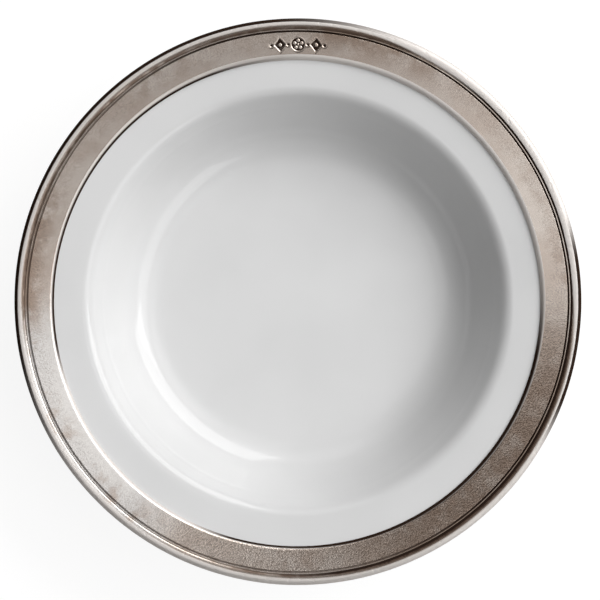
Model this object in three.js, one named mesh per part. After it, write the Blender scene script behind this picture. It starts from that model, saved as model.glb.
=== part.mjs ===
// Pasta bowl: a white glazed ceramic bowl whose flange is bound in a pewter rim.
// The flange sits in a channel between a cast rim band above and a back ring below. A bedding seal
// fills the channel, and a solder seam joins the back ring to the skirt of the rim band.
// Millimetres, +Z up, origin at the middle of the foot on the table.

import * as THREE from "three";

// Overall
const RIM_DIAMETER = 240; // over the bead

// Ceramic bowl
const FLANGE_WIDTH = 14.5; // white flange that shows between the pewter and the well
const FLANGE_SLOPE = 9; // degrees, rising outwards
const FLANGE_THICKNESS = 3.6;
const FLANGE_EDGE_RADIUS = 1.2;
const WELL_DEPTH = 27; // floor to the corner of the shoulder
const WELL_WALL_ANGLE = 55; // degrees above the floor
const WELL_COVE_RADIUS = 20; // between the floor and the wall
const SHOULDER_RADIUS = 8; // between the wall and the flange
const UNDER_SHOULDER_RADIUS = 10;
const WALL_THICKNESS = 5;
const FLOOR_THICKNESS = 5; // over the hollow inside the foot
const FOOT_HEIGHT = 3.5; // depth of the hollow inside the foot
const FOOT_INSET = 12.5; // from the corner of the floor and the wall, in to the outside of the foot
const FOOT_WIDTH = 5;
const FOOT_EDGE_RADIUS = 1;
const FOOT_FILLET = 1.5;

// Pewter rim
const BAND_WIDTH = 17; // whole rim, from the bead's outside to the inner lip
const BAND_SLOPE = 10; // degrees, rising outwards
const BAND_WALL = 0.9; // pewter over the bedding, at the inner lip
const BAND_LIP_WIDTH = 1.6; // lip that bears on the glaze
const BAND_LIP_RADIUS = 1.6;
const BEAD_WIDTH = 4.2;
const BEAD_RISE = 1; // top of the bead over the outer end of the band
const REED_WIDTH = 0.8; // fine raised line beside the bead
const REED_HEIGHT = 0.3;
const QUIRK_WIDTH = 0.4; // groove on each side of the reed
const QUIRK_DEPTH = 0.3;
const SKIRT_THICKNESS = 1.5;
const SKIRT_EDGE_RADIUS = 0.9;
const BACK_RING_WIDTH = 11;
const BACK_RING_THICKNESS = 1;
const BACK_RING_LIP_WIDTH = 1.2;
const BACK_RING_EDGE_RADIUS = 0.4;

// Joints
const BEDDING_THICKNESS = 0.4;
const SOLDER_LEG = 0.7; // side of the solder fillet
const FIT_GAP = 0.2; // between any two pieces

// Fineness of the solids
const TURNED_SEGMENTS = 64;
const CHORD_ERROR = 0.06; // most that a chord leaves its arc

const tangent = (degrees) => Math.tan(THREE.MathUtils.degToRad(degrees));
const point = (radius, height) => new THREE.Vector2(radius, height);
const corner = (radius, height, round = 0) => ({ at: point(radius, height), round });

// Points on an arc about a centre, both ends included.
function arc(centre, radius, startDegrees, endDegrees) {
  const start = THREE.MathUtils.degToRad(startDegrees);
  const sweep = THREE.MathUtils.degToRad(endDegrees) - start;
  const widestStep = 2 * Math.acos(1 - Math.min(1, CHORD_ERROR / radius));
  const steps = Math.max(2, Math.ceil(Math.abs(sweep) / widestStep));
  return Array.from({ length: steps + 1 }, (_, i) => {
    const angle = start + (sweep * i) / steps;
    return point(centre.x + radius * Math.cos(angle), centre.y + radius * Math.sin(angle));
  });
}

// Half of the angle that a corner's two sides make.
function halfAngle(before, at, after) {
  const inward = before.clone().sub(at).normalize();
  const onward = after.clone().sub(at).normalize();
  return Math.acos(THREE.MathUtils.clamp(inward.dot(onward), -1, 1)) / 2;
}

// A corner replaced by the arc that touches both sides at a given reach from it.
function roundedCorner(before, at, after, reach) {
  const half = halfAngle(before, at, after);
  const inward = before.clone().sub(at).normalize();
  const onward = after.clone().sub(at).normalize();
  const radius = reach * Math.tan(half);
  const bisector = inward.clone().add(onward).normalize();
  const centre = at.clone().addScaledVector(bisector, radius / Math.sin(half));
  const start = at.clone().addScaledVector(inward, reach).sub(centre);
  const end = at.clone().addScaledVector(onward, reach).sub(centre);
  const startDegrees = THREE.MathUtils.radToDeg(start.angle());
  const turn = Math.atan2(start.cross(end), start.dot(end));
  return arc(centre, radius, startDegrees, startDegrees + THREE.MathUtils.radToDeg(turn));
}

// The outline through a list of corners, with each corner's rounding.
// Two roundings that would meet on a side are both cut back to share it.
// A ring's outline closes on itself. Any other starts and ends on the axis.
function outlineOf(corners, ring) {
  const count = corners.length;
  const at = (i) => corners[(i + count) % count].at;
  const reach = corners.map(({ round }, i) =>
    round > 0 ? round / Math.tan(halfAngle(at(i - 1), at(i), at(i + 1))) : 0,
  );
  corners.forEach((_, i) => {
    const next = (i + 1) % count;
    const share = at(i).distanceTo(at(next)) / (reach[i] + reach[next]);
    reach[i] *= Math.min(1, share);
    reach[next] *= Math.min(1, share);
  });
  const points = corners.flatMap((_, i) =>
    reach[i] > 0 ? roundedCorner(at(i - 1), at(i), at(i + 1), reach[i]) : [at(i)],
  );
  return ring ? [...points, points[0].clone()] : points;
}

// A piece turned about the axis from its outline.
function turnedPiece(name, outline, material) {
  const geometry = new THREE.LatheGeometry(outline, TURNED_SEGMENTS);
  geometry.rotateX(Math.PI / 2);
  const piece = new THREE.Mesh(geometry, material);
  piece.name = name;
  return piece;
}

// Where two lines meet, each given by a point and its rise per unit of radius.
function crossing(a, riseA, b, riseB) {
  const radius = (b.y - a.y + riseA * a.x - riseB * b.x) / (riseA - riseB);
  return point(radius, a.y + riseA * (radius - a.x));
}

// Radii and heights that the pieces share
const rimRadius = RIM_DIAMETER / 2;
const lipRadius = rimRadius - BAND_WIDTH;
const wellRadius = lipRadius - FLANGE_WIDTH;
const channelGap = BEDDING_THICKNESS + 2 * FIT_GAP; // ceramic to pewter, with the bedding between
const beadRadius = BEAD_WIDTH / 2;
const beadMiddle = rimRadius - beadRadius;
const skirtInside = beadMiddle - SKIRT_THICKNESS;
const ceramicRadius = skirtInside - channelGap;
const floorHeight = FOOT_HEIGHT + FLOOR_THICKNESS;
const flangeRise = tangent(FLANGE_SLOPE);
const bandRise = tangent(BAND_SLOPE);
const shoulder = point(wellRadius, floorHeight + WELL_DEPTH);
const flangeTop = (radius) => shoulder.y + flangeRise * (radius - wellRadius);
const flangeUnder = (radius) => flangeTop(radius) - FLANGE_THICKNESS;
const lipTop = flangeTop(lipRadius) + channelGap + BAND_WALL;
const bandTop = (radius) => lipTop + bandRise * (radius - lipRadius);
const backRingInside = skirtInside - FIT_GAP - BACK_RING_WIDTH;
const backRingOutside = skirtInside - FIT_GAP;
const backRingTop = (radius) => flangeUnder(radius) - channelGap;
const backRingUnder = (radius) => backRingTop(radius) - BACK_RING_THICKNESS;
const skirtBottom = backRingUnder(backRingOutside) - FIT_GAP - SOLDER_LEG;

// Glazed ceramic bowl: foot, wall, flange and well, fired as one piece.
function ceramicBowl() {
  const wallRise = tangent(WELL_WALL_ANGLE);
  const floorCorner = point(wellRadius - WELL_DEPTH / wallRise, floorHeight);
  const footOutside = floorCorner.x - FOOT_INSET;
  const footInside = footOutside - FOOT_WIDTH;
  const bellyHeight = floorHeight - WALL_THICKNESS;
  const wallAngle = THREE.MathUtils.degToRad(WELL_WALL_ANGLE);
  const outerWall = point(
    floorCorner.x + WALL_THICKNESS * Math.sin(wallAngle),
    floorCorner.y - WALL_THICKNESS * Math.cos(wallAngle),
  );
  const belly = crossing(outerWall, wallRise, point(0, bellyHeight), 0);
  const underside = point(wellRadius, flangeUnder(wellRadius));
  const underShoulder = crossing(outerWall, wallRise, underside, flangeRise);
  const material = new THREE.MeshStandardMaterial({ color: 0xe6e6e6, roughness: 0.12, metalness: 0 });
  const outline = outlineOf([
    corner(0, FOOT_HEIGHT),
    corner(footInside, FOOT_HEIGHT, FOOT_FILLET),
    corner(footInside, 0, FOOT_EDGE_RADIUS),
    corner(footOutside, 0, FOOT_EDGE_RADIUS),
    corner(footOutside, bellyHeight, FOOT_FILLET),
    corner(belly.x, belly.y, WELL_COVE_RADIUS + WALL_THICKNESS),
    corner(underShoulder.x, underShoulder.y, UNDER_SHOULDER_RADIUS),
    corner(ceramicRadius, flangeUnder(ceramicRadius), FLANGE_EDGE_RADIUS),
    corner(ceramicRadius, flangeTop(ceramicRadius), FLANGE_EDGE_RADIUS),
    corner(shoulder.x, shoulder.y, SHOULDER_RADIUS),
    corner(floorCorner.x, floorCorner.y, WELL_COVE_RADIUS),
    corner(0, floorHeight),
  ]);
  return turnedPiece("ceramic_bowl", outline, material);
}

const pewter = () =>
  new THREE.MeshStandardMaterial({ color: 0xa89c92, roughness: 0.42, metalness: 1 });

// Cast rim band: lip, sloping band, fine reed between two quirks, bead, and skirt round the ceramic.
function rimBand() {
  const lipInner = lipRadius + BAND_LIP_WIDTH;
  const channelTop = (radius) => flangeTop(radius) + channelGap;
  const reedOutside = rimRadius - BEAD_WIDTH - QUIRK_WIDTH;
  const reedMiddle = reedOutside - REED_WIDTH / 2;
  const reedInside = reedOutside - REED_WIDTH;
  const bandEnd = reedInside - QUIRK_WIDTH;
  const quirkBottom = bandTop(bandEnd) - QUIRK_DEPTH;
  const reedTop = bandTop(bandEnd) + REED_HEIGHT;
  const beadHeight = bandTop(bandEnd) + BEAD_RISE - beadRadius;
  const beadStart = THREE.MathUtils.radToDeg(Math.asin((quirkBottom - beadHeight) / beadRadius));
  const bead = arc(point(beadMiddle, beadHeight), beadRadius, 180 - beadStart, -90);
  const outline = outlineOf(
    [
      corner(lipRadius, flangeTop(lipRadius) + FIT_GAP),
      corner(lipInner, flangeTop(lipInner) + FIT_GAP),
      corner(lipInner, channelTop(lipInner)),
      corner(skirtInside, channelTop(skirtInside)),
      corner(skirtInside, skirtBottom),
      corner(beadMiddle, skirtBottom, SKIRT_EDGE_RADIUS),
      ...bead.reverse().map(({ x, y }) => corner(x, y)),
      corner(reedOutside, quirkBottom),
      corner(reedMiddle, reedTop, REED_WIDTH / 2),
      corner(reedInside, quirkBottom),
      corner(bandEnd, bandTop(bandEnd)),
      corner(lipRadius, lipTop, BAND_LIP_RADIUS),
    ],
    true,
  );
  return turnedPiece("rim_band", outline, pewter());
}

// Back ring: a sloping washer under the flange, whose inner lip bears on the glaze.
function backRing() {
  const lipOuter = backRingInside + BACK_RING_LIP_WIDTH;
  const lipHeight = (radius) => flangeUnder(radius) - FIT_GAP;
  const outline = outlineOf(
    [
      corner(backRingInside, backRingUnder(backRingInside), BACK_RING_EDGE_RADIUS),
      corner(backRingOutside, backRingUnder(backRingOutside)),
      corner(backRingOutside, backRingTop(backRingOutside)),
      corner(lipOuter, backRingTop(lipOuter)),
      corner(lipOuter, lipHeight(lipOuter)),
      corner(backRingInside, lipHeight(backRingInside)),
    ],
    true,
  );
  return turnedPiece("back_ring", outline, pewter());
}

// Bedding seal: the compound that fills the channel round the edge of the flange.
function beddingSeal() {
  const upperEnd = lipRadius + BAND_LIP_WIDTH + FIT_GAP;
  const lowerEnd = backRingInside + BACK_RING_LIP_WIDTH + FIT_GAP;
  const innerWall = ceramicRadius + FIT_GAP;
  const outerWall = innerWall + BEDDING_THICKNESS;
  const innerRound = FLANGE_EDGE_RADIUS + FIT_GAP;
  const upperInner = (radius) => flangeTop(radius) + FIT_GAP;
  const upperOuter = (radius) => upperInner(radius) + BEDDING_THICKNESS;
  const lowerInner = (radius) => flangeUnder(radius) - FIT_GAP;
  const lowerOuter = (radius) => lowerInner(radius) - BEDDING_THICKNESS;
  const outline = outlineOf(
    [
      corner(lowerEnd, lowerInner(lowerEnd)),
      corner(lowerEnd, lowerOuter(lowerEnd)),
      corner(outerWall, lowerOuter(outerWall)),
      corner(outerWall, upperOuter(outerWall)),
      corner(upperEnd, upperOuter(upperEnd)),
      corner(upperEnd, upperInner(upperEnd)),
      corner(innerWall, upperInner(innerWall), innerRound),
      corner(innerWall, lowerInner(innerWall), innerRound),
    ],
    true,
  );
  const material = new THREE.MeshStandardMaterial({ color: 0xb9b4aa, roughness: 0.8, metalness: 0 });
  return turnedPiece("bedding_seal", outline, material);
}

// Solder seam: the fillet in the corner under the back ring, against the skirt.
function solderSeam() {
  const wall = skirtInside - FIT_GAP;
  const inside = wall - SOLDER_LEG;
  const under = (radius) => backRingUnder(radius) - FIT_GAP;
  const outline = outlineOf(
    [corner(inside, under(inside)), corner(wall, under(wall) - SOLDER_LEG), corner(wall, under(wall))],
    true,
  );
  const material = new THREE.MeshStandardMaterial({ color: 0xb4aca4, roughness: 0.35, metalness: 1 });
  return turnedPiece("solder_seam", outline, material);
}

const pastaBowl = new THREE.Group();
pastaBowl.name = "pasta_bowl";
pastaBowl.add(ceramicBowl(), rimBand(), backRing(), beddingSeal(), solderSeam());

export default pastaBowl;
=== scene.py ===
import math

import bpy
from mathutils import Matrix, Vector


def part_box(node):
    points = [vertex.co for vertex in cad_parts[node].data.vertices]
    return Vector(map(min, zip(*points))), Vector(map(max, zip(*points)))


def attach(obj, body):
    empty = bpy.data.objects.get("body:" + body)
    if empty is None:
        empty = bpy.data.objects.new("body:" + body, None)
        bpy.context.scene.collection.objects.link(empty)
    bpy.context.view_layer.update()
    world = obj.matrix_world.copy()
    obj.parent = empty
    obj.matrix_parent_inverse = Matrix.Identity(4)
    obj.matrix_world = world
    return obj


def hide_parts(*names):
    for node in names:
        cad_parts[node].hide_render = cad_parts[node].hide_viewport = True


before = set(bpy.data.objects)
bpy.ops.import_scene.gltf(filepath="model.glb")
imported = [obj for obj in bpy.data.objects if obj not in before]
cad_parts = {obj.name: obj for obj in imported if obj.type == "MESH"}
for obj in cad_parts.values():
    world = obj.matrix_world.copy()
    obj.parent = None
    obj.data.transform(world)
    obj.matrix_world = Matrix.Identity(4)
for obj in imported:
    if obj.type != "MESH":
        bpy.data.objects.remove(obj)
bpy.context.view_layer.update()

# Ceramic bowl
# One piece of white clay, shaped on the wheel with a template, fired, and dipped in a clear gloss glaze.
# The pewter rim grips its flange. The foot ring is wiped bare, so that it doesn't stick in the kiln.
MM = 0.001
_, bowl_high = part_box("ceramic_bowl")
rim_low, rim_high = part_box("rim_band")
RIM_WIDTH = 17 * MM
FLANGE_WIDTH = 14.5 * MM
FLANGE_SLOPE = math.tan(math.radians(9))
FLANGE_THICKNESS = 3.6 * MM
FLANGE_EDGE_ROUND = 1.2 * MM
WELL_DEPTH = 27 * MM
WALL_ANGLE = math.radians(55)
WALL_THICKNESS = 5 * MM
COVE_ROUND = 20 * MM
BELLY_ROUND = 22 * MM
SHOULDER_ROUND = 8 * MM
UNDER_SHOULDER_ROUND = 10 * MM
FLOOR_THICKNESS = 5 * MM
FOOT_HEIGHT = 3.5 * MM
FOOT_WIDTH = 5 * MM
FOOT_INSET = 12.5 * MM
FOOT_EDGE_ROUND = 1 * MM
FOOT_FILLET = 1.35 * MM
TOOL_LINE_DROP = 6.5 * MM
TOOL_LINE_WIDTH = 1.2 * MM
TOOL_LINE_RISE = 0.06 * MM
BOWL_COLUMNS = 256
EVEN_COLUMNS = 1.0
BOWL_WOBBLE = 0.1 * MM
BOWL_WOBBLE_SPACING = 65 * MM
GLAZE_WHITE = (0.70, 0.70, 0.70, 1)
GLAZE_POOLED = (0.675, 0.675, 0.675, 1)
GLAZE_ROUGHNESS = 0.05
GLAZE_IOR = 1.35
BARE_CLAY = (0.56, 0.49, 0.41, 1)
BARE_CLAY_ROUGHNESS = 0.85
BARE_EDGE_RAGGEDNESS = 0.4 * MM
BARE_EDGE_HEIGHTS = (1.2 * MM, 1.0 * MM)
GLAZE_CLOUD_SPACING = 40 * MM
GLAZE_CLOUD_RANGE = (0.35, 0.7)
TEMPLATE_RING_SPACING = 5 * MM
TEMPLATE_RING_SHARE = 0.35
GLAZE_RIPPLE_SPACING = 16 * MM
GLAZE_PEEL_SPACING = 1.6 * MM
GLAZE_PEEL_SHARE = 0.02
GLAZE_RELIEF = 0.025 * MM
SECTION_STEP = 2 * MM
ARC_STEP = math.radians(5)
WELD_DISTANCE = 0.001 * MM
CROWDING_POWER = 3.0
NOISE_MIDDLE = (0.5, 0.5, 0.5)
PLAY_SPACING = 5 * MM


def put(tree, kind, inputs=(), **settings):
    """Adds a node. A socket given as an input is linked to it, and any other value is set on it."""
    made = tree.nodes.new(kind)
    for name, value in settings.items():
        setattr(made, name, value)
    for socket, value in dict(inputs).items():
        if isinstance(value, bpy.types.NodeSocket):
            tree.links.new(value, made.inputs[socket])
        else:
            made.inputs[socket].default_value = value
    return made


def maths(tree, operation, first, second=0.0):
    """The result of a sum on two numbers."""
    return put(tree, "ShaderNodeMath", {0: first, 1: second}, operation=operation).outputs[0]


def arrow_maths(tree, operation, first, second=(0, 0, 0)):
    """The result of a sum on two vectors."""
    return put(tree, "ShaderNodeVectorMath", {0: first, 1: second}, operation=operation).outputs[0]


def scaled(tree, arrow, factor):
    """A vector times a number."""
    return put(tree, "ShaderNodeVectorMath", {0: arrow, "Scale": factor}, operation="SCALE").outputs[0]


TRAITS = ("tarnish_and_shade", "slack", "play")


def corner(radius, height, rounding=0.0, step=SECTION_STEP, tarnish_and_shade=0.0, slack=0.0, play=0.0):
    """A corner of a section: its rounding, the rows after it, and its traits. These are how black it is
    (tarnish in the punched marks, painted shade on the bead's flanks and the lip, and both in the crease and
    groove), how far it follows a piece that sits off centre, and how unevenly it was worked."""
    traits = {"tarnish_and_shade": tarnish_and_shade, "slack": slack, "play": play}
    return {"at": Vector((radius, height)), "rounding": rounding, "step": step, **traits}


def rounded(before, this, after):
    """The points of one corner of a section, on the arc of its rounding."""
    inward = (before["at"] - this["at"]).normalized()
    onward = (after["at"] - this["at"]).normalized()
    half = inward.angle(onward) / 2
    reach = this["rounding"] / math.tan(half)
    centre = this["at"] + (inward + onward).normalized() * this["rounding"] / math.sin(half)
    start = this["at"] + inward * reach - centre
    turn = start.angle_signed(this["at"] + onward * reach - centre)
    steps = max(2, math.ceil(abs(turn) / ARC_STEP))
    start_angle = math.atan2(start.y, start.x)
    points = []
    for i in range(steps + 1):
        angle = start_angle - turn * i / steps
        place = centre + this["rounding"] * Vector((math.cos(angle), math.sin(angle)))
        points.append({**this, "at": place, "step": this["step"] if i == steps else math.inf})
    return points


def section_points(corners, ring):
    """A section's points: rounded corners, and sides cut into rows. A ring's section closes on itself."""
    ends = []
    for i, this in enumerate(corners):
        after = corners[(i + 1) % len(corners)]
        ends += rounded(corners[i - 1], this, after) if this["rounding"] else [this]
    if ring:
        ends.append(ends[0])
    points = ends[:1]
    for start, end in zip(ends, ends[1:]):
        rows = max(1, math.ceil((end["at"] - start["at"]).length / start["step"]))
        for row in range(1, rows + 1):
            part_way = {k: start[k] + (end[k] - start[k]) * row / rows for k in ("at", *TRAITS)}
            points.append({**end, **part_way})
    return points


def lathe_tree():
    """Geometry Nodes that turn a section about the axis, with the small irregularities of hand work."""
    tree = bpy.data.node_groups.new("turned_on_the_lathe", "GeometryNodeTree")
    sizes = {
        "Section": "NodeSocketGeometry",
        "Columns": "NodeSocketInt",
        "Evenness": "NodeSocketFloat",
        "Wobble": "NodeSocketFloat",
        "Wobble spacing": "NodeSocketFloat",
        "Play spacing": "NodeSocketFloat",
        "Seed": "NodeSocketFloat",
        "Off centre": "NodeSocketVector",
        "Finish": "NodeSocketMaterial",
    }
    for name, kind in sizes.items():
        tree.interface.new_socket(name, in_out="INPUT", socket_type=kind)
    tree.interface.new_socket("Turned piece", in_out="OUTPUT", socket_type="NodeSocketGeometry")
    given = put(tree, "NodeGroupInput").outputs
    rows = put(tree, "GeometryNodeAttributeDomainSize", {0: given["Section"]}).outputs["Point Count"]
    edges = maths(tree, "ADD", given["Columns"], 1.0)
    sheet = put(tree, "GeometryNodeMeshGrid", {"Vertices X": edges, "Vertices Y": rows}).outputs["Mesh"]
    index = put(tree, "GeometryNodeInputIndex").outputs[0]
    row = maths(tree, "MODULO", index, rows)
    column = maths(tree, "FLOOR", maths(tree, "DIVIDE", index, rows))

    # The columns crowd together at the middle of the sheet, which comes to the back of the bowl.
    middle = maths(tree, "MULTIPLY", given["Columns"], 0.5)
    half_turns = maths(tree, "SUBTRACT", maths(tree, "DIVIDE", column, middle), 1.0)
    even = maths(tree, "MULTIPLY", half_turns, given["Evenness"])
    crowding = maths(tree, "SUBTRACT", 1.0, given["Evenness"])
    crowded = maths(tree, "MULTIPLY", maths(tree, "POWER", half_turns, CROWDING_POWER), crowding)
    turn = maths(tree, "MULTIPLY", maths(tree, "ADD", even, crowded), math.pi)
    angle = maths(tree, "ADD", turn, math.pi / 2)

    def on_section(value, kind):
        found = put(tree, "GeometryNodeSampleIndex", {0: given["Section"], "Index": row}, data_type=kind)
        tree.links.new(value, found.inputs["Value"])
        return found.outputs[0]

    def trait(name):
        read = put(tree, "GeometryNodeInputNamedAttribute", {"Name": name}, data_type="FLOAT")
        return on_section(read.outputs[0], "FLOAT")

    place = on_section(put(tree, "GeometryNodeInputPosition").outputs[0], "FLOAT_VECTOR")
    around = put(tree, "ShaderNodeVectorRotate", {"Vector": place, "Angle": angle}, rotation_type="Z_AXIS")
    swept = around.outputs[0]

    def waver(spacing, reach):
        waves = {"Vector": swept, "W": given["Seed"], "Detail": 1.0}
        waves["Scale"] = maths(tree, "DIVIDE", 1.0, spacing)
        wave = put(tree, "ShaderNodeTexNoise", waves, noise_dimensions="4D").outputs["Color"]
        return scaled(tree, arrow_maths(tree, "SUBTRACT", wave, NOISE_MIDDLE), reach)

    wobble = waver(given["Wobble spacing"], given["Wobble"])
    hand = waver(given["Play spacing"], trait("play"))
    shift = scaled(tree, given["Off centre"], trait("slack"))
    uneven = arrow_maths(tree, "ADD", arrow_maths(tree, "ADD", wobble, hand), shift)
    moved = {"Geometry": sheet, "Position": swept, "Offset": uneven}
    shaped = put(tree, "GeometryNodeSetPosition", moved).outputs[0]
    kept = {"Geometry": shaped, "Name": "tarnish_and_shade", "Value": trait("tarnish_and_shade")}
    aged = put(tree, "GeometryNodeStoreNamedAttribute", kept, data_type="FLOAT", domain="POINT").outputs[0]
    welded = {"Geometry": aged, "Distance": WELD_DISTANCE}
    closed = put(tree, "GeometryNodeMergeByDistance", welded).outputs[0]
    smooth = put(tree, "GeometryNodeSetShadeSmooth", {"Geometry": closed, "Shade Smooth": True}).outputs[0]
    whole = put(tree, "GeometryNodeRealizeInstances", {"Geometry": smooth}).outputs[0]
    dressed = put(tree, "GeometryNodeSetMaterial", {"Geometry": whole, "Material": given["Finish"]})
    put(tree, "NodeGroupOutput", {0: dressed.outputs[0]})
    return tree


LATHE = lathe_tree()


def turned(name, corners, ring, finish, **sizes):
    """A piece turned from its section, as a plain mesh at the origin."""
    points = section_points(corners, ring)
    wire = bpy.data.meshes.new(name + "_section")
    places = [(p["at"].x, 0, p["at"].y) for p in points]
    wire.from_pydata(places, [(i, i + 1) for i in range(len(points) - 1)], [])
    for trait in TRAITS:
        wire.attributes.new(trait, "FLOAT", "POINT").data.foreach_set("value", [p[trait] for p in points])
    piece = bpy.data.objects.new(name, wire)
    bpy.context.scene.collection.objects.link(piece)
    lathe = piece.modifiers.new("lathe", "NODES")
    lathe.node_group = LATHE
    sockets = {s.name: s.identifier for s in LATHE.interface.items_tree if s.in_out == "INPUT"}
    for size, value in {"play_spacing": PLAY_SPACING, **sizes}.items():
        lathe[sockets[size.capitalize().replace("_", " ")]] = value
    lathe[sockets["Finish"]] = finish
    plain = bpy.data.meshes.new_from_object(piece.evaluated_get(bpy.context.evaluated_depsgraph_get()))
    piece.modifiers.clear()
    piece.data = plain
    plain.name = name
    bpy.data.meshes.remove(wire)
    return piece


def plain_finish(name):
    """A new material with its tree, its Principled shader and the Object coordinates of its patterns."""
    finish = bpy.data.materials.new(name)
    finish.use_nodes = True
    tree = finish.node_tree
    place = put(tree, "ShaderNodeTexCoord").outputs["Object"]
    return finish, tree, tree.nodes["Principled BSDF"].inputs, place


def noise(tree, place, spacing, detail=2.0, roughness=0.5):
    """Noise whose features lie about a spacing apart."""
    inputs = {"Vector": place, "Scale": 1 / spacing, "Detail": detail, "Roughness": roughness}
    return put(tree, "ShaderNodeTexNoise", inputs).outputs["Fac"]


def between(tree, value, low, high, start=0.0, end=1.0):
    """A value mapped smoothly from one range to another."""
    inputs = {"Value": value, "From Min": low, "From Max": high, "To Min": start, "To Max": end}
    return put(tree, "ShaderNodeMapRange", inputs, interpolation_type="SMOOTHSTEP").outputs["Result"]


def blend(tree, share, first, second):
    """Two colours mixed by a share."""
    FACTOR, A, B, RESULT = 0, 6, 7, 2
    made = put(tree, "ShaderNodeMix", {FACTOR: share, A: first, B: second}, data_type="RGBA")
    return made.outputs[RESULT]


def from_axis(tree, place):
    """The distance of a place from the bowl's axis, and the direction in which it lies."""
    flat = arrow_maths(tree, "MULTIPLY", place, (1, 1, 0))
    length = put(tree, "ShaderNodeVectorMath", {0: flat}, operation="LENGTH").outputs["Value"]
    return length, arrow_maths(tree, "NORMALIZE", flat)


def bumped(tree, shader, height, depth):
    """Gives a shader the relief of a height that goes from 0 to 1 over a depth."""
    relief = put(tree, "ShaderNodeBump", {"Height": height, "Strength": 1.0, "Distance": depth})
    tree.links.new(relief.outputs[0], shader["Normal"])


def white_glaze():
    """Clear gloss over white clay: a slow ripple, faint rings of the template, and a bare foot."""
    finish, tree, shader, place = plain_finish("white_glaze")
    height = put(tree, "ShaderNodeSeparateXYZ", {0: place}).outputs["Z"]
    radius, _ = from_axis(tree, place)
    cloud = noise(tree, place, GLAZE_CLOUD_SPACING)
    glazed = blend(tree, between(tree, cloud, *GLAZE_CLOUD_RANGE), GLAZE_WHITE, GLAZE_POOLED)
    ragged = maths(tree, "ADD", height, maths(tree, "MULTIPLY", cloud, BARE_EDGE_RAGGEDNESS))
    bare = between(tree, ragged, *BARE_EDGE_HEIGHTS)
    tree.links.new(blend(tree, bare, glazed, BARE_CLAY), shader["Base Color"])
    roughness = between(tree, bare, 0.0, 1.0, GLAZE_ROUGHNESS, BARE_CLAY_ROUGHNESS)
    tree.links.new(roughness, shader["Roughness"])
    shader["IOR"].default_value = GLAZE_IOR
    on_section = put(tree, "ShaderNodeCombineXYZ", {"X": radius, "Y": height}).outputs[0]
    template = noise(tree, on_section, TEMPLATE_RING_SPACING)
    rings = maths(tree, "MULTIPLY", template, TEMPLATE_RING_SHARE)
    ripple = noise(tree, place, GLAZE_RIPPLE_SPACING, detail=1.0)
    orange_peel = noise(tree, place, GLAZE_PEEL_SPACING, detail=1.0)
    peel = maths(tree, "MULTIPLY", orange_peel, GLAZE_PEEL_SHARE)
    bumped(tree, shader, maths(tree, "ADD", maths(tree, "ADD", ripple, rings), peel), GLAZE_RELIEF)
    return finish


lip_radius = rim_high.x - RIM_WIDTH
well_radius = lip_radius - FLANGE_WIDTH
wall_slope = math.tan(WALL_ANGLE)
floor_height = FOOT_HEIGHT + FLOOR_THICKNESS
shoulder_height = floor_height + WELL_DEPTH
floor_corner = well_radius - WELL_DEPTH / wall_slope
foot_outside = floor_corner - FOOT_INSET
foot_inside = foot_outside - FOOT_WIDTH
foot_bottom = BOWL_WOBBLE / 2
belly_height = floor_height - WALL_THICKNESS
belly_out = WALL_THICKNESS / math.sin(WALL_ANGLE) + (belly_height - floor_height) / wall_slope
belly_radius = floor_corner + belly_out
flange_edge = bowl_high.x - BOWL_WOBBLE / 2


def flange_top(radius):
    """The height of the flange's upper face at a radius."""
    return shoulder_height + FLANGE_SLOPE * (radius - well_radius)


def flange_under(radius):
    """The height of the flange's lower face at a radius."""
    return flange_top(radius) - FLANGE_THICKNESS


def wall_corner(drop, rise=0.0):
    """A corner of the well's wall, at a drop below the shoulder, raised a little out of the wall."""
    radius = well_radius - drop / wall_slope - rise * math.sin(WALL_ANGLE)
    return corner(radius, shoulder_height - drop + rise * math.cos(WALL_ANGLE))


outer_wall_foot = flange_under(0) - belly_height + wall_slope * belly_radius
under_shoulder = outer_wall_foot / (wall_slope - FLANGE_SLOPE)
ceramic_bowl = turned(
    "ceramic_bowl_glazed",
    [
        corner(0, FOOT_HEIGHT),
        corner(foot_inside, FOOT_HEIGHT, FOOT_FILLET),
        corner(foot_inside, foot_bottom, FOOT_EDGE_ROUND),
        corner(foot_outside, foot_bottom, FOOT_EDGE_ROUND),
        corner(foot_outside, belly_height, FOOT_FILLET),
        corner(belly_radius, belly_height, BELLY_ROUND),
        corner(under_shoulder, flange_under(under_shoulder), UNDER_SHOULDER_ROUND),
        corner(flange_edge, flange_under(flange_edge), FLANGE_EDGE_ROUND),
        corner(flange_edge, flange_top(flange_edge), FLANGE_EDGE_ROUND),
        corner(well_radius, shoulder_height, SHOULDER_ROUND),
        wall_corner(TOOL_LINE_DROP),
        wall_corner(TOOL_LINE_DROP + TOOL_LINE_WIDTH / 2, TOOL_LINE_RISE),
        wall_corner(TOOL_LINE_DROP + TOOL_LINE_WIDTH),
        corner(floor_corner, floor_height, COVE_ROUND),
        corner(0, floor_height),
    ],
    False,
    white_glaze(),
    columns=BOWL_COLUMNS,
    evenness=EVEN_COLUMNS,
    wobble=BOWL_WOBBLE,
    wobble_spacing=BOWL_WOBBLE_SPACING,
    seed=3.0,
)
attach(ceramic_bowl, "root")
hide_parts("ceramic_bowl")

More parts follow.
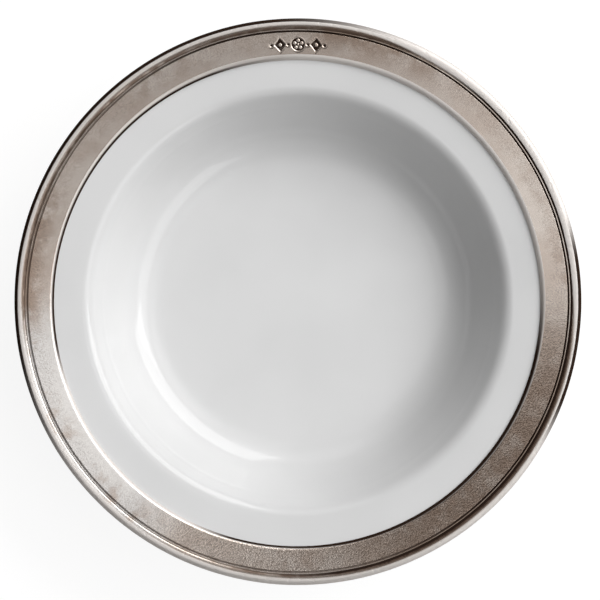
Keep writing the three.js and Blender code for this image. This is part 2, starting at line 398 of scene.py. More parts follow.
# Bedding seal
# The putty that fills the channel round the edge of the flange, so that the ceramic doesn't touch metal.
# It is pressed in soft when the rim is put on, and sets there.
FIT_GAP = 0.2 * MM
BEDDING_THICKNESS = 0.4 * MM
LIP_WIDTH = 1.6 * MM
BACK_RING_WIDTH = 11 * MM
BACK_RING_LIP_WIDTH = 1.2 * MM
PUTTY = (0.50, 0.48, 0.43, 1)
PUTTY_DIRTY = (0.34, 0.32, 0.28, 1)
PUTTY_ROUGHNESS = 0.8
PUTTY_COLUMNS = 192
PUTTY_WOBBLE = 0.1 * MM
PUTTY_WOBBLE_SPACING = 6 * MM
PUTTY_STREAK_SPACING = 3 * MM
PUTTY_STREAK_RANGE = (0.4, 0.7)
PUTTY_GRIT_SPACING = 0.5 * MM
PUTTY_RELIEF = 0.05 * MM


def set_putty():
    """Putty: chalky, with darker streaks where it was worked."""
    finish, tree, shader, place = plain_finish("set_putty")
    streak = between(tree, noise(tree, place, PUTTY_STREAK_SPACING, detail=3.0), *PUTTY_STREAK_RANGE)
    tree.links.new(blend(tree, streak, PUTTY, PUTTY_DIRTY), shader["Base Color"])
    shader["Roughness"].default_value = PUTTY_ROUGHNESS
    bumped(tree, shader, noise(tree, place, PUTTY_GRIT_SPACING), PUTTY_RELIEF)
    return finish


_, bedding_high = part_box("bedding_seal")
_, ring_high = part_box("back_ring")
bedding_outside = bedding_high.x - PUTTY_WOBBLE / 2
bedding_inside = bedding_outside - BEDDING_THICKNESS
back_ring_inside = ring_high.x - BACK_RING_WIDTH
upper_end = lip_radius + LIP_WIDTH + FIT_GAP
lower_end = back_ring_inside + BACK_RING_LIP_WIDTH + FIT_GAP
inner_round = FLANGE_EDGE_ROUND + FIT_GAP
bedding_near = FIT_GAP
bedding_far = FIT_GAP + BEDDING_THICKNESS
bedding_seal = turned(
    "bedding_seal_putty",
    [
        corner(lower_end, flange_under(lower_end) - bedding_near),
        corner(lower_end, flange_under(lower_end) - bedding_far),
        corner(bedding_outside, flange_under(bedding_outside) - bedding_far),
        corner(bedding_outside, flange_top(bedding_outside) + bedding_far),
        corner(upper_end, flange_top(upper_end) + bedding_far),
        corner(upper_end, flange_top(upper_end) + bedding_near),
        corner(bedding_inside, flange_top(bedding_inside) + bedding_near, inner_round),
        corner(bedding_inside, flange_under(bedding_inside) - bedding_near, inner_round),
    ],
    True,
    set_putty(),
    columns=PUTTY_COLUMNS,
    evenness=EVEN_COLUMNS,
    wobble=PUTTY_WOBBLE,
    wobble_spacing=PUTTY_WOBBLE_SPACING,
    seed=5.0,
)
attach(bedding_seal, "root")
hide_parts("bedding_seal")

# Rim band
# A pewter casting, turned on the lathe: a lip that bears on the glaze, a sloping band, a fine reed
# between a groove and a crease, a bead round the outside, and a skirt past the edge of the ceramic.
# The grain of the casting is coarse at the front and finer elsewhere, and least on the bead.
CHANNEL_GAP = BEDDING_THICKNESS + 2 * FIT_GAP
BAND_TILT = math.radians(10)
BAND_SLOPE = math.tan(BAND_TILT)
BEAD_ROUND = 2.1 * MM
BEAD_RISE = 1.0 * MM
BEAD_STEP = math.radians(6)
# Tilts beyond which the bead's outer flank and its back are black with painted shade.
BEAD_OUTER_SHADE_TILT = math.radians(14)
BEAD_BACK_ROUND = 4.85 * MM
BEAD_BACK_TILT = math.radians(30)
BEAD_BACK_SHADE_TILT = math.radians(21)
CREASE_WIDTH = 0.15 * MM
CREASE_DROP = 0.2 * MM
CREASE_SIDE = 0.05 * MM
REED_WIDTH = 0.42 * MM
REED_RISE = 0.12 * MM
REED_ROUND = 0.05 * MM
REED_PLAY = 0.2 * MM
GROOVE_WIDTH = 0.7 * MM
GROOVE_SIDE = 0.12 * MM
GROOVE_DEPTH = 0.65 * MM
BAND_END_ROUND = 0.12 * MM
LIP_ROUND = 2.4 * MM
LIP_STEPS = 14
# The tilt over which the lip turns black with painted shade as it bends down to the glaze.
LIP_SHADE_TILT = math.radians(58)
LIP_UNDERCUT = 0.4 * MM
LIP_SEAT = 0.05 * MM
LIP_OFF_CENTRE = (-0.3 * MM, -0.6 * MM, 0)
SKIRT_THICKNESS = 1.5 * MM
SKIRT_ROUND = 0.9 * MM
RIM_COLUMNS = 504
RIM_EVENNESS = 0.16
RIM_WOBBLE = 0.2 * MM
RIM_WOBBLE_SPACING = 35 * MM
BAND_STEP = 0.18 * MM
PEWTER_BRIGHT = (0.67, 0.605, 0.55, 1)
PEWTER_DULL = (0.59, 0.51, 0.45, 1)
# A painted highlight: the band's colour on the side where it mirrors the lamps.
PEWTER_HIGHLIGHT = (0.66, 0.64, 0.62, 1)
PEWTER_PALE = (0.72, 0.685, 0.655, 1)
PEWTER_BROWN = (0.39, 0.305, 0.25, 1)
PATINA_FILM = (1.0, 0.4, 0.12, 1)
PATINA_FILM_WEIGHT = 0.04
# Patina in the pits, and the painted shade behind the bead.
PATINA_AND_SHADE = (0.13, 0.095, 0.075, 1)
# Tarnish in the hollows, and painted shade on the bead's flanks, the crease, groove and lip.
TARNISH_AND_SHADE = (0.010, 0.009, 0.009, 1)
SMOOTH_BAND_RADIUS = 105 * MM
GRAINY_BAND_RADIUS = 111 * MM
BAND_EDGE_RADIUS = 114.1 * MM
BEAD_BACK_RADII = (115.0 * MM, 116.9 * MM)
# Where the pale top of the bead begins: wear, and a painted highlight.
BEAD_WEAR_AND_HIGHLIGHT_RADIUS = 116.4 * MM
BEAD_TOP_RADIUS = 118 * MM
LIP_END_RADIUS = 104.8 * MM
BEAD_FADE = 1 * MM
BEAD_BACK_FADES = (0.4 * MM, 0.8 * MM)
FLANK_FADE = 0.5 * MM
CREASE_FADE = 0.05 * MM
LIP_FADE = 0.2 * MM
CLOUD_SPACING = 22 * MM
CLOUD_RANGE = (0.35, 0.65)
GRAIN_SPACING = 0.65 * MM
BAND_GRAIN = (0.05, 0.45)
COARSE_GRAIN = 1.4
BEAD_GRAIN = 0.06
PIT_RANGE = (0.56, 0.34)
PIT_PATINA = 0.48
SMUDGE_SPACING = 9 * MM
SMUDGE_RANGE = (0.5, 0.7)
SMUDGE_SHARE = 0.6
INNER_BAND_SMUDGE = 0.2
DARKER_PATCH_RANGE = (0.3, 0.55)
# A browner painted shade, in patches, on the side where the band mirrors the dark room.
SHADE_PATCH_RANGE = (0.3, 0.6)
SHADE_PATCH_LEAST = 0.4
# How much further the pale bead top reaches as a painted highlight on the lit side, and how much less on the
# shaded side.
BRIGHT_SIDE_HIGHLIGHT_SPREAD = 1.3 * MM
DARK_SIDE_SPREAD = 0.5 * MM
LIT_BEAD_BACK_SHARE = 0.85
MOTTLE_SPACING = 5 * MM
MOTTLE_RANGE = (0.3, 0.6)
MOTTLE_SHARES = (0.55, 0.95)
SHADED_CREASE_SHARE = 0.45
UNSHADED_GROOVE_SHARE = 0.45
LIP_PALENESS = 0.85
RAGGED_SPACING = 1.8 * MM
RAGGED_RANGE = (0.3, 0.7)
RAGGED_REACH = 0.12
# Painted shade: how much darker the lip and the back of the bead are on the shaded side.
SHADED_LIP_DARKENING = 0.25
SHADED_BEAD_BACK_DARKENING = 0.45
TARNISH_AND_SHADE_RANGE = (0.3, 0.7)
PATINA_AND_SHADE_DULLNESS = 0.4
PALE_DULLNESS = 0.58
PEWTER_ROUGHNESS = (0.23, 0.6)
TURNED_ANISOTROPY = 0.6
QUARTER_TURN = 0.25
TURNING_SPACING = 0.4 * MM
TURNING_SHARE = 0.06
DENT_SPACING = 9 * MM
DENT_SHARE = 0.8
NICK_SPACING = 2.2 * MM
NICK_RANGE = (0.72, 0.64)
NICK_SHARE = 0.7
PEWTER_RELIEF = 0.09 * MM


def side(azimuth, start, full):
    """A side of the bowl, by its bearing from +X. A mark there starts and is full at these cosines of the
    angle from it."""
    bearing = math.radians(azimuth)
    return (math.cos(bearing), math.sin(bearing), 0), start, full


COARSE_SIDE = side(300, 0.3, 0.85)
# Apart from the darker patch sides, these sides place painted light: painted highlights where the band, bead
# and lip mirror the lamps, and painted shade where they mirror the dark room.
BROWN_SIDE = side(319, 0.68, 0.97)
DARK_SIDE = side(319, 0.6, 0.9)
DARKER_PATCH_SIDES = [side(azimuth, 0.95, 0.985) for azimuth in (74, 170, 325)]
HIGHLIGHT_SIDE = side(210, 0.8, 0.95)
UNSHADED_GROOVE_SIDE = side(210, -0.3, 0.5)
BRIGHT_SIDE = side(33, 0.72, 0.93)
BLACK_EDGE_SIDE = side(141, 0.15, 0.7)
DARK_EDGE_SIDE = side(354, 0.9, 0.97)
HIGHLIGHT_LIP_SIDE = side(222, 0.84, 0.94)
LIGHTER_LIP_SIDE = side(50, 0.45, 0.8)
BLACK_CREASE_SIDE = side(342, 0.15, 0.45)
SHADED_CREASE_SIDE = side(155, 0.93, 0.98)
LIT_BEAD_BACK_SIDE = side(222, 0.78, 0.92)


def pewter(name):
    """Old pewter: cast grain with patina in its pits, and smudges. Painted light in it: a paler painted
    highlight where the band mirrors the lamps, a browner painted shade where it mirrors the dark room, a
    pale bead and lip that are partly wear and partly painted highlight, and black from the surface's trait:
    tarnish in the hollows, painted shade on the flanks, crease, groove and lip, left off the lit sides."""
    finish, tree, shader, place = plain_finish(name)
    tarnish_and_shade = put(tree, "ShaderNodeAttribute", attribute_name="tarnish_and_shade").outputs["Fac"]
    height = put(tree, "ShaderNodeSeparateXYZ", {0: place}).outputs["Z"]
    radius, outward = from_axis(tree, place)

    def times(first, second):
        return maths(tree, "MULTIPLY", first, second)

    def most(first, second):
        return maths(tree, "MAXIMUM", first, second)

    def less(share):
        return maths(tree, "SUBTRACT", 1.0, share)

    def towards(marked, away=0.0, there=1.0):
        direction, start, full = marked
        facing = put(tree, "ShaderNodeVectorMath", {0: outward, 1: direction}, operation="DOT_PRODUCT")
        return between(tree, facing.outputs["Value"], start, full, away, there)

    # The metal with its cast grain and smudges, a paler painted highlight where it mirrors the lamps, and a
    # brown painted shade on the side where it mirrors the dark room.
    cloud = noise(tree, place, CLOUD_SPACING, detail=4.0, roughness=0.6)
    grain = noise(tree, place, GRAIN_SPACING, detail=2.0, roughness=0.6)
    smooth = between(tree, radius, SMOOTH_BAND_RADIUS, GRAINY_BAND_RADIUS, *BAND_GRAIN)
    coarse = towards(COARSE_SIDE, 0.0, COARSE_GRAIN)
    off_bead = between(tree, radius, BAND_EDGE_RADIUS, BAND_EDGE_RADIUS + BEAD_FADE, 1.0, BEAD_GRAIN)
    cast = times(most(smooth, coarse), off_bead)
    pits = times(between(tree, grain, *PIT_RANGE), times(cast, PIT_PATINA))
    metal = blend(tree, between(tree, cloud, *CLOUD_RANGE), PEWTER_BRIGHT, PEWTER_DULL)
    outer_band = between(tree, radius, SMOOTH_BAND_RADIUS, BAND_EDGE_RADIUS, INNER_BAND_SMUDGE, 1.0)
    # Painted highlight: the band is paler and greyer on the side where it mirrors the lamps.
    painted_highlight = towards(HIGHLIGHT_SIDE)
    patchy = noise(tree, place, SMUDGE_SPACING, detail=4.0, roughness=0.6)
    band_patches = between(tree, patchy, *SMUDGE_RANGE, 0.0, SMUDGE_SHARE)
    # The outer band is darker in patches, more so on three sides.
    for patch_side in DARKER_PATCH_SIDES:
        band_patches = most(band_patches, times(towards(patch_side), between(tree, patchy, *DARKER_PATCH_RANGE)))
    # Painted shade: the band is browner in patches on the side where it mirrors the dark room.
    painted_shade_brown = times(towards(BROWN_SIDE), between(tree, patchy, *SHADE_PATCH_RANGE, SHADE_PATCH_LEAST, 1.0))
    brown = most(times(band_patches, outer_band), painted_shade_brown)
    browned = blend(tree, brown, blend(tree, painted_highlight, metal, PEWTER_HIGHLIGHT), PEWTER_BROWN)

    # The bead is pale on top: wear, widened into a painted highlight on the lit side and narrowed on the
    # shaded side. Behind it lies a mottled painted shade, strongest on the shaded side and left off the lit
    # sides.
    bright_side = towards(BRIGHT_SIDE)
    dark_side = towards(DARK_SIDE)
    highlight_spread = times(bright_side, BRIGHT_SIDE_HIGHLIGHT_SPREAD)
    pale_shift = maths(tree, "SUBTRACT", highlight_spread, times(dark_side, DARK_SIDE_SPREAD))
    bead_radius = maths(tree, "ADD", radius, pale_shift)
    wear_and_highlight = between(tree, bead_radius, BEAD_WEAR_AND_HIGHLIGHT_RADIUS, BEAD_WEAR_AND_HIGHLIGHT_RADIUS + BEAD_FADE)
    back_start, back_end = BEAD_BACK_RADII
    start_fade, end_fade = BEAD_BACK_FADES
    behind_bead = times(
        between(tree, radius, back_start, back_start + start_fade),
        between(tree, bead_radius, back_end, back_end - end_fade),
    )
    # The painted shade behind the bead is left off its lit sides and is full on the shaded side.
    unlit = less(most(towards(LIT_BEAD_BACK_SIDE, 0.0, LIT_BEAD_BACK_SHARE), bright_side))
    mottled = between(tree, noise(tree, place, MOTTLE_SPACING, detail=3.0), *MOTTLE_RANGE, *MOTTLE_SHARES)
    shade_behind_bead = times(times(behind_bead, unlit), most(mottled, dark_side))
    patina_and_shade = most(pits, shade_behind_bead)

    # The lit sides, on which the painted shade of the flank, crease, groove and lip is left off.
    on_flank = between(tree, radius, BEAD_TOP_RADIUS, BEAD_TOP_RADIUS + FLANK_FADE)
    on_crease = between(tree, radius, back_start - CREASE_FADE, back_start + CREASE_FADE)
    on_lip = between(tree, radius, LIP_END_RADIUS, LIP_END_RADIUS - LIP_FADE)
    off_black_edge = towards(BLACK_EDGE_SIDE, 1.0, 0.0)
    unshaded_flank = times(on_flank, times(off_black_edge, towards(DARK_EDGE_SIDE, 1.0, 0.0)))
    off_black_crease = towards(BLACK_CREASE_SIDE, 1.0, 0.0)
    off_shaded_crease = towards(SHADED_CREASE_SIDE, 1.0, SHADED_CREASE_SHARE)
    unshaded_crease = times(times(on_crease, less(on_flank)), times(off_black_crease, off_shaded_crease))
    on_groove = less(most(on_crease, on_lip))
    unshaded_groove = times(on_groove, towards(UNSHADED_GROOVE_SIDE, 0.0, UNSHADED_GROOVE_SHARE))
    lip_highlight = most(towards(HIGHLIGHT_LIP_SIDE), towards(LIGHTER_LIP_SIDE))
    unshaded_lip = times(on_lip, lip_highlight)
    # Where this is full the painted shade is left off, and the lip is paler with a painted highlight.
    bare = most(most(unshaded_flank, unshaded_crease), most(unshaded_groove, unshaded_lip))
    pale = most(wear_and_highlight, times(on_lip, most(lip_highlight, LIP_PALENESS)))
    skin = blend(tree, pale, blend(tree, patina_and_shade, browned, PATINA_AND_SHADE), PEWTER_PALE)

    # The black, with a ragged edge: tarnish in the hollows and painted shade on the flanks, crease, groove
    # and lip, darker still on the lip and behind the bead on the shaded side.
    ragged = between(tree, noise(tree, place, RAGGED_SPACING), *RAGGED_RANGE, -RAGGED_REACH, RAGGED_REACH)
    blacker = times(dark_side, most(times(on_lip, SHADED_LIP_DARKENING), times(behind_bead, SHADED_BEAD_BACK_DARKENING)))
    edge = maths(tree, "ADD", maths(tree, "ADD", tarnish_and_shade, blacker), times(ragged, less(on_lip)))
    tarnished_and_shaded = between(tree, edge, *TARNISH_AND_SHADE_RANGE)
    black = times(tarnished_and_shaded, less(bare))
    tree.links.new(blend(tree, black, skin, TARNISH_AND_SHADE), shader["Base Color"])
    satin = most(times(patina_and_shade, PATINA_AND_SHADE_DULLNESS), times(pale, PALE_DULLNESS))
    dull = most(satin, black)
    tree.links.new(between(tree, dull, 0.0, 1.0, 1.0, 0.0), shader["Metallic"])
    tree.links.new(between(tree, dull, 0.0, 1.0, *PEWTER_ROUGHNESS), shader["Roughness"])
    shader["Specular IOR Level"].default_value = 0.0
    shader["Sheen Weight"].default_value = PATINA_FILM_WEIGHT
    shader["Sheen Roughness"].default_value = 1.0
    shader["Sheen Tint"].default_value = PATINA_FILM
    shader["Anisotropic"].default_value = TURNED_ANISOTROPY
    shader["Anisotropic Rotation"].default_value = QUARTER_TURN
    around = put(tree, "ShaderNodeTangent", direction_type="RADIAL", axis="Z")
    tree.links.new(around.outputs[0], shader["Tangent"])

    # The relief: grain, nicks in the bead, marks of the turning and slow dents.
    on_section = put(tree, "ShaderNodeCombineXYZ", {"X": radius, "Y": height}).outputs[0]
    turning = times(noise(tree, on_section, TURNING_SPACING), TURNING_SHARE)
    dents = times(noise(tree, place, DENT_SPACING, detail=1.0), DENT_SHARE)
    nicked = between(tree, noise(tree, place, NICK_SPACING, detail=0.0), *NICK_RANGE)
    nicks = times(nicked, times(wear_and_highlight, NICK_SHARE))
    skin_relief = maths(tree, "ADD", times(grain, cast), nicks)
    relief = maths(tree, "ADD", skin_relief, maths(tree, "ADD", turning, dents))
    bumped(tree, shader, relief, PEWTER_RELIEF)
    return finish


rim_radius = rim_high.x - RIM_WOBBLE / 2
bead_centre = rim_radius - BEAD_ROUND
bead_height = rim_high.z - RIM_WOBBLE / 2 - BEAD_ROUND
skirt_inside = bead_centre - SKIRT_THICKNESS
crease = bead_centre - BEAD_BACK_ROUND * math.sin(BEAD_BACK_TILT)
reed_outside = crease - CREASE_WIDTH
reed_inside = reed_outside - REED_WIDTH
groove_inside = reed_inside - GROOVE_WIDTH
band_end = groove_inside - GROOVE_SIDE
band_end_height = bead_height + BEAD_ROUND - BEAD_RISE
groove_bottom = band_end_height - GROOVE_DEPTH
lip_top = band_end_height - BAND_SLOPE * (band_end - lip_radius)
lip_inside = lip_radius + LIP_WIDTH
bead_top = bead_height + BEAD_ROUND
# The bead's outer flank is black beyond a tilt: painted shade.
bead = []
for i in range(round(math.pi / BEAD_STEP) + 1):
    tilt = math.pi - BEAD_STEP * i
    place = (bead_centre + BEAD_ROUND * math.sin(tilt), bead_height + BEAD_ROUND * math.cos(tilt))
    bead.append(corner(*place, tarnish_and_shade=1.0 if tilt > BEAD_OUTER_SHADE_TILT else 0.0))
# The steep back of the bead is black beyond a tilt: painted shade.
for i in range(1, round(BEAD_BACK_TILT / BEAD_STEP) + 1):
    tilt = min(BEAD_STEP * i, BEAD_BACK_TILT)
    drop = BEAD_BACK_ROUND * (1 - math.cos(tilt))
    back_shade = 1.0 if tilt > BEAD_BACK_SHADE_TILT else 0.0
    bead.append(corner(bead_centre - BEAD_BACK_ROUND * math.sin(tilt), bead_top - drop, tarnish_and_shade=back_shade))
# The lip turns black as it tilts down to the glaze: painted shade where it meets the ceramic.
lip_middle = (lip_radius + LIP_ROUND, lip_top + (BAND_SLOPE - 1 / math.cos(BAND_TILT)) * LIP_ROUND)
lip = []
for i in range(LIP_STEPS + 1):
    tilt = BAND_TILT + (math.pi / 2 - BAND_TILT) * i / LIP_STEPS
    place = (lip_middle[0] - LIP_ROUND * math.sin(tilt), lip_middle[1] + LIP_ROUND * math.cos(tilt))
    lip.append(corner(*place, tarnish_and_shade=min(1.0, (tilt - BAND_TILT) / LIP_SHADE_TILT), slack=1.0))
lip_foot = lip_radius + LIP_UNDERCUT
rim_band = turned(
    "rim_band_pewter",
    [
        # The lip's foot is black: painted shade where it meets the glaze.
        corner(lip_foot, flange_top(lip_foot) + LIP_SEAT, tarnish_and_shade=1.0, slack=1.0),
        corner(lip_inside, flange_top(lip_inside) + LIP_SEAT),
        corner(lip_inside, flange_top(lip_inside) + CHANNEL_GAP),
        corner(skirt_inside, flange_top(skirt_inside) + CHANNEL_GAP),
        corner(skirt_inside, rim_low.z),
        corner(bead_centre, rim_low.z, SKIRT_ROUND),
        *bead,
        # The crease and the groove are black: tarnish in the hollows and painted shade.
        corner(crease, band_end_height - CREASE_DROP, tarnish_and_shade=1.0),
        corner(reed_outside + CREASE_SIDE, band_end_height - CREASE_DROP, tarnish_and_shade=1.0),
        corner(reed_outside, band_end_height + REED_RISE, REED_ROUND, play=REED_PLAY),
        corner(reed_inside, band_end_height + REED_RISE, REED_ROUND, play=REED_PLAY),
        corner(reed_inside, groove_bottom, tarnish_and_shade=1.0),
        corner(groove_inside, groove_bottom, tarnish_and_shade=1.0),
        corner(band_end, band_end_height, BAND_END_ROUND, BAND_STEP),
        *lip,
    ],
    True,
    pewter("cast_pewter"),
    columns=RIM_COLUMNS,
    evenness=RIM_EVENNESS,
    wobble=RIM_WOBBLE,
    wobble_spacing=RIM_WOBBLE_SPACING,
    seed=7.0,
    off_centre=LIP_OFF_CENTRE,
)

# A punched ornament at the back of the band: a rosette between two lozenges, with pellets beside them.
ORNAMENT_RADIUS = 108.8 * MM
ORNAMENT_REACH = 15 * MM
ORNAMENT_MARGIN = 1 * MM
PUNCH_DEPTH = 0.32 * MM
PUNCH_EDGE = 0.3 * MM
PUNCH_LIP = 0.1 * MM
PUNCH_AGE = 0.75
MOTIF_RISE = 0.28 * MM
ROSETTE_RADIUS = 2.7 * MM
PETALS = 5
PETAL_RADIUS = 0.72 * MM
PETAL_MIDDLE = 1.55 * MM
BOSS_RADIUS = 0.5 * MM
LOZENGE_MIDDLE = 7.6 * MM
LOZENGE_HALF = (2.3 * MM, 2.7 * MM)
PELLET_RADIUS = 0.55 * MM
PELLET_MIDDLES = (4.1 * MM, 11.2 * MM)


def disc(across, out, middle, radius):
    """How far a place on the band lies outside a disc."""
    return math.hypot(across - middle[0], out - middle[1]) - radius


def lozenge(across, out, middle):
    """How far a place on the band lies outside a lozenge, about."""
    width, height = LOZENGE_HALF
    reach = abs(across - middle) / width + abs(out) / height - 1
    return reach * width * height / math.hypot(width, height)


def sunk(outside):
    """The share of a punch's depth at a distance outside its edge."""
    share = min(1.0, max(0.0, 0.5 - outside / PUNCH_EDGE))
    return share * share * (3 - 2 * share)


def punched(across, out):
    """How far the punches move the face of the band outwards at a place, and how black they leave it."""
    aside = abs(across)
    fields = [disc(across, out, (0, 0), ROSETTE_RADIUS), lozenge(aside, out, LOZENGE_MIDDLE)]
    fields += [disc(aside, out, (middle, 0), PELLET_RADIUS) for middle in PELLET_MIDDLES]
    motifs = [disc(across, out, (0, 0), BOSS_RADIUS), disc(aside, out, (LOZENGE_MIDDLE, 0), PETAL_RADIUS)]
    for i in range(PETALS):
        angle = math.pi / 2 + 2 * math.pi * i / PETALS
        middle = (PETAL_MIDDLE * math.cos(angle), PETAL_MIDDLE * math.sin(angle))
        motifs.append(disc(across, out, middle, PETAL_RADIUS))
    field = min(fields)
    burr = PUNCH_LIP * math.exp(-(((field - PUNCH_EDGE) / PUNCH_EDGE) ** 2))
    depth = sunk(field)
    motif = sunk(min(motifs))
    return burr - PUNCH_DEPTH * depth + MOTIF_RISE * motif, PUNCH_AGE * max(0.0, depth - motif)


band_normals = [vertex.normal.copy() for vertex in rim_band.data.vertices]
band_tarnish_and_shade = rim_band.data.attributes["tarnish_and_shade"].data
for vertex, normal in zip(rim_band.data.vertices, band_normals):
    across = math.atan2(vertex.co.x, vertex.co.y) * ORNAMENT_RADIUS
    out = math.hypot(vertex.co.x, vertex.co.y) - ORNAMENT_RADIUS
    if normal.z > 0 and abs(across) < ORNAMENT_REACH and abs(out) < ROSETTE_RADIUS + ORNAMENT_MARGIN:
        moved, black = punched(across, out)
        vertex.co += normal * moved
        band_tarnish_and_shade[vertex.index].value = max(band_tarnish_and_shade[vertex.index].value, black)
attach(rim_band, "root")
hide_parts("rim_band")

# Back ring
# A pewter washer under the flange that closes the channel from behind. Its inner lip bears on the glaze,
# and its outer edge is soldered to the skirt of the rim band.
BACK_RING_THICKNESS = 1 * MM
BACK_RING_ROUND = 0.4 * MM
BACK_RING_WOBBLE = 0.1 * MM
BACK_RING_WOBBLE_SPACING = 25 * MM
BACK_LIP_AGE = 0.9
RING_STEP = 0.6 * MM
back_lip = back_ring_inside + BACK_RING_LIP_WIDTH
back_edge = ring_high.x - BACK_RING_WOBBLE / 2
back_under = CHANNEL_GAP + BACK_RING_THICKNESS
back_ring = turned(
    "back_ring_pewter",
    [
        corner(back_ring_inside, flange_under(back_ring_inside) - back_under, BACK_RING_ROUND, RING_STEP),
        corner(back_edge, flange_under(back_edge) - back_under),
        corner(back_edge, flange_under(back_edge) - CHANNEL_GAP),
        corner(back_lip, flange_under(back_lip) - CHANNEL_GAP),
        corner(back_lip, flange_under(back_lip) - LIP_SEAT),
        corner(back_ring_inside, flange_under(back_ring_inside) - LIP_SEAT, tarnish_and_shade=BACK_LIP_AGE),
    ],
    True,
    pewter("rolled_pewter"),
    columns=BOWL_COLUMNS,
    evenness=EVEN_COLUMNS,
    wobble=BACK_RING_WOBBLE,
    wobble_spacing=BACK_RING_WOBBLE_SPACING,
    seed=11.0,
)
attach(back_ring, "root")
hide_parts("back_ring")

# Solder seam
# A fillet of tin solder run into the corner under the back ring, against the skirt, with a hand iron.
# It sets in small ripples.
SOLDER_LEG = 0.7 * MM
SOLDER_WOBBLE = 0.16 * MM
SOLDER_WOBBLE_SPACING = 3 * MM
SOLDER_COLUMNS = 900
TIN = (0.62, 0.60, 0.57, 1)
TIN_STAINED = (0.30, 0.25, 0.20, 1)
TIN_ROUGHNESS = (0.22, 0.5)
FLUX_SPACING = 6 * MM
FLUX_RANGE = (0.5, 0.72)
TIN_GRAIN_SPACING = 1.2 * MM
TIN_RELIEF = 0.05 * MM


def run_tin():
    """Solder: bright tin with stains of flux."""
    finish, tree, shader, place = plain_finish("run_tin")
    stain = between(tree, noise(tree, place, FLUX_SPACING, detail=3.0), *FLUX_RANGE)
    tree.links.new(blend(tree, stain, TIN, TIN_STAINED), shader["Base Color"])
    shader["Metallic"].default_value = 1.0
    tree.links.new(between(tree, stain, 0.0, 1.0, *TIN_ROUGHNESS), shader["Roughness"])
    bumped(tree, shader, noise(tree, place, TIN_GRAIN_SPACING), TIN_RELIEF)
    return finish


solder_low, solder_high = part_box("solder_seam")
solder_wall = solder_high.x - SOLDER_WOBBLE / 2
solder_inside = solder_wall - SOLDER_LEG
solder_wall_top = flange_under(solder_wall) - back_under - FIT_GAP
solder_inside_top = flange_under(solder_inside) - back_under - FIT_GAP
solder_seam = turned(
    "solder_seam_tin",
    [
        corner(solder_inside, solder_inside_top),
        corner(solder_wall, solder_low.z + SOLDER_WOBBLE / 2),
        corner(solder_wall, solder_wall_top),
    ],
    True,
    run_tin(),
    columns=SOLDER_COLUMNS,
    evenness=EVEN_COLUMNS,
    wobble=SOLDER_WOBBLE,
    wobble_spacing=SOLDER_WOBBLE_SPACING,
    seed=13.0,
)
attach(solder_seam, "root")
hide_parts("solder_seam")

# Floor
# A sheet of pale paper under the bowl. It shows white, apart from the bowl's shadow on it.
FLOOR_REACH = 4.0
PAPER = (0.20, 0.20, 0.20, 1)
PAPER_GLOW = 0.88
WHITE = (1, 1, 1, 1)
floor_mesh = bpy.data.meshes.new("floor")
floor_corners = [(-1, -1), (1, -1), (1, 1), (-1, 1)]
floor_mesh.from_pydata([(x * FLOOR_REACH, y * FLOOR_REACH, 0) for x, y in floor_corners], [], [(0, 1, 2, 3)])
floor = bpy.data.objects.new("floor", floor_mesh)
bpy.context.scene.collection.objects.link(floor)
paper, tree, shader, _ = plain_finish("pale_floor")
shader["Base Color"].default_value = PAPER
shader["Roughness"].default_value = 1.0
shader["Specular IOR Level"].default_value = 0.0
shader["Emission Color"].default_value = WHITE
rays = put(tree, "ShaderNodeLightPath").outputs
mirrored = maths(tree, "MAXIMUM", rays["Is Glossy Ray"], rays["Is Transmission Ray"])
seen = maths(tree, "MAXIMUM", rays["Is Camera Ray"], mirrored)
tree.links.new(maths(tree, "MULTIPLY", seen, PAPER_GLOW), shader["Emission Strength"])
floor_mesh.materials.append(paper)

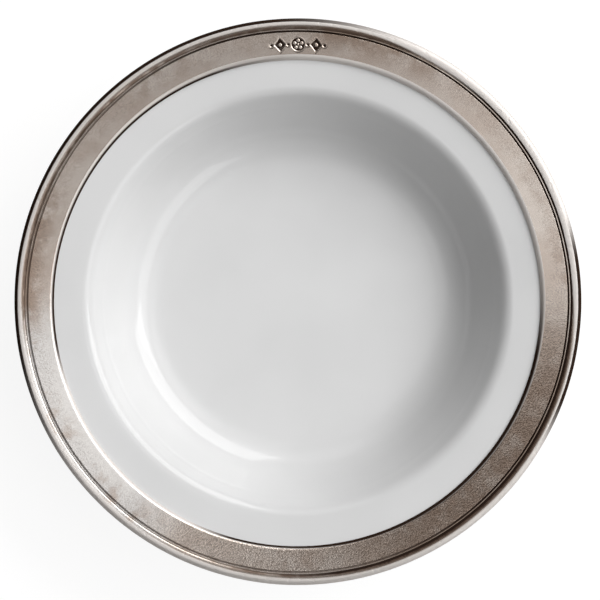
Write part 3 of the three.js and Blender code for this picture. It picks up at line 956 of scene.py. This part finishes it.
# Camera
# It looks straight down into the bowl, which fills the frame.
CAMERA_DISTANCE = 1.3
FRAME_SIDE = 600
RIM_RADIUS_PX = 283.7
RIM_CENTRE_PX = (297.9, 301.7)
px = rim_high.x / RIM_RADIUS_PX
camera = bpy.data.objects.new("camera", bpy.data.cameras.new("camera"))
camera.data.lens = camera.data.sensor_width * CAMERA_DISTANCE / (FRAME_SIDE * px)
camera.location = (
    (FRAME_SIDE / 2 - RIM_CENTRE_PX[0]) * px,
    (RIM_CENTRE_PX[1] - FRAME_SIDE / 2) * px,
    bead_height + CAMERA_DISTANCE,
)
bpy.context.scene.collection.objects.link(camera)
bpy.context.scene.camera = camera

# Lamps
# A broad soft key at the right and behind, a second soft lamp at the right, weaker ones behind, in front
# and overhead, and a dim room.
LAMP_DISTANCE = 1.5
WORLD_STRENGTH = 0.02


def lamp(name, azimuth, elevation, half_width, half_height, radiance):
    """A soft lamp that faces the bowl: its bearing from +X, height, half angles and brightness."""
    data = bpy.data.lights.new(name, "AREA")
    data.shape = "RECTANGLE"
    data.size = 2 * LAMP_DISTANCE * math.tan(math.radians(half_width))
    data.size_y = 2 * LAMP_DISTANCE * math.tan(math.radians(half_height))
    data.energy = radiance * math.pi * data.size * data.size_y
    made = bpy.data.objects.new(name, data)
    bearing = math.radians(azimuth)
    rise = math.radians(elevation)
    level = Vector((math.cos(bearing), math.sin(bearing), 0)) * math.cos(rise)
    away = level + Vector((0, 0, math.sin(rise)))
    made.location = away * LAMP_DISTANCE
    made.rotation_mode = "QUATERNION"
    made.rotation_quaternion = away.to_track_quat("Z", "Y")
    made.visible_camera = False
    bpy.context.scene.collection.objects.link(made)


lamp("key", azimuth=42, elevation=35, half_width=31, half_height=16, radiance=4.78)
lamp("right_side", azimuth=339, elevation=47, half_width=31, half_height=13, radiance=2.31)
lamp("behind", azimuth=92, elevation=45, half_width=16, half_height=15, radiance=1.05)
lamp("front", azimuth=285, elevation=36, half_width=43, half_height=13, radiance=0.22)
lamp("overhead", azimuth=300, elevation=87, half_width=24, half_height=13, radiance=0.60)
lamp("overhead_right", azimuth=31, elevation=68, half_width=9, half_height=10, radiance=1.0)
lamp("overhead_left", azimuth=199, elevation=70, half_width=9, half_height=9, radiance=0.85)
world = bpy.data.worlds.new("studio")
world.use_nodes = True
world.node_tree.nodes["Background"].inputs["Color"].default_value = WHITE
world.node_tree.nodes["Background"].inputs["Strength"].default_value = WORLD_STRENGTH
bpy.context.scene.world = world
bpy.context.scene.view_settings.view_transform = "Standard"
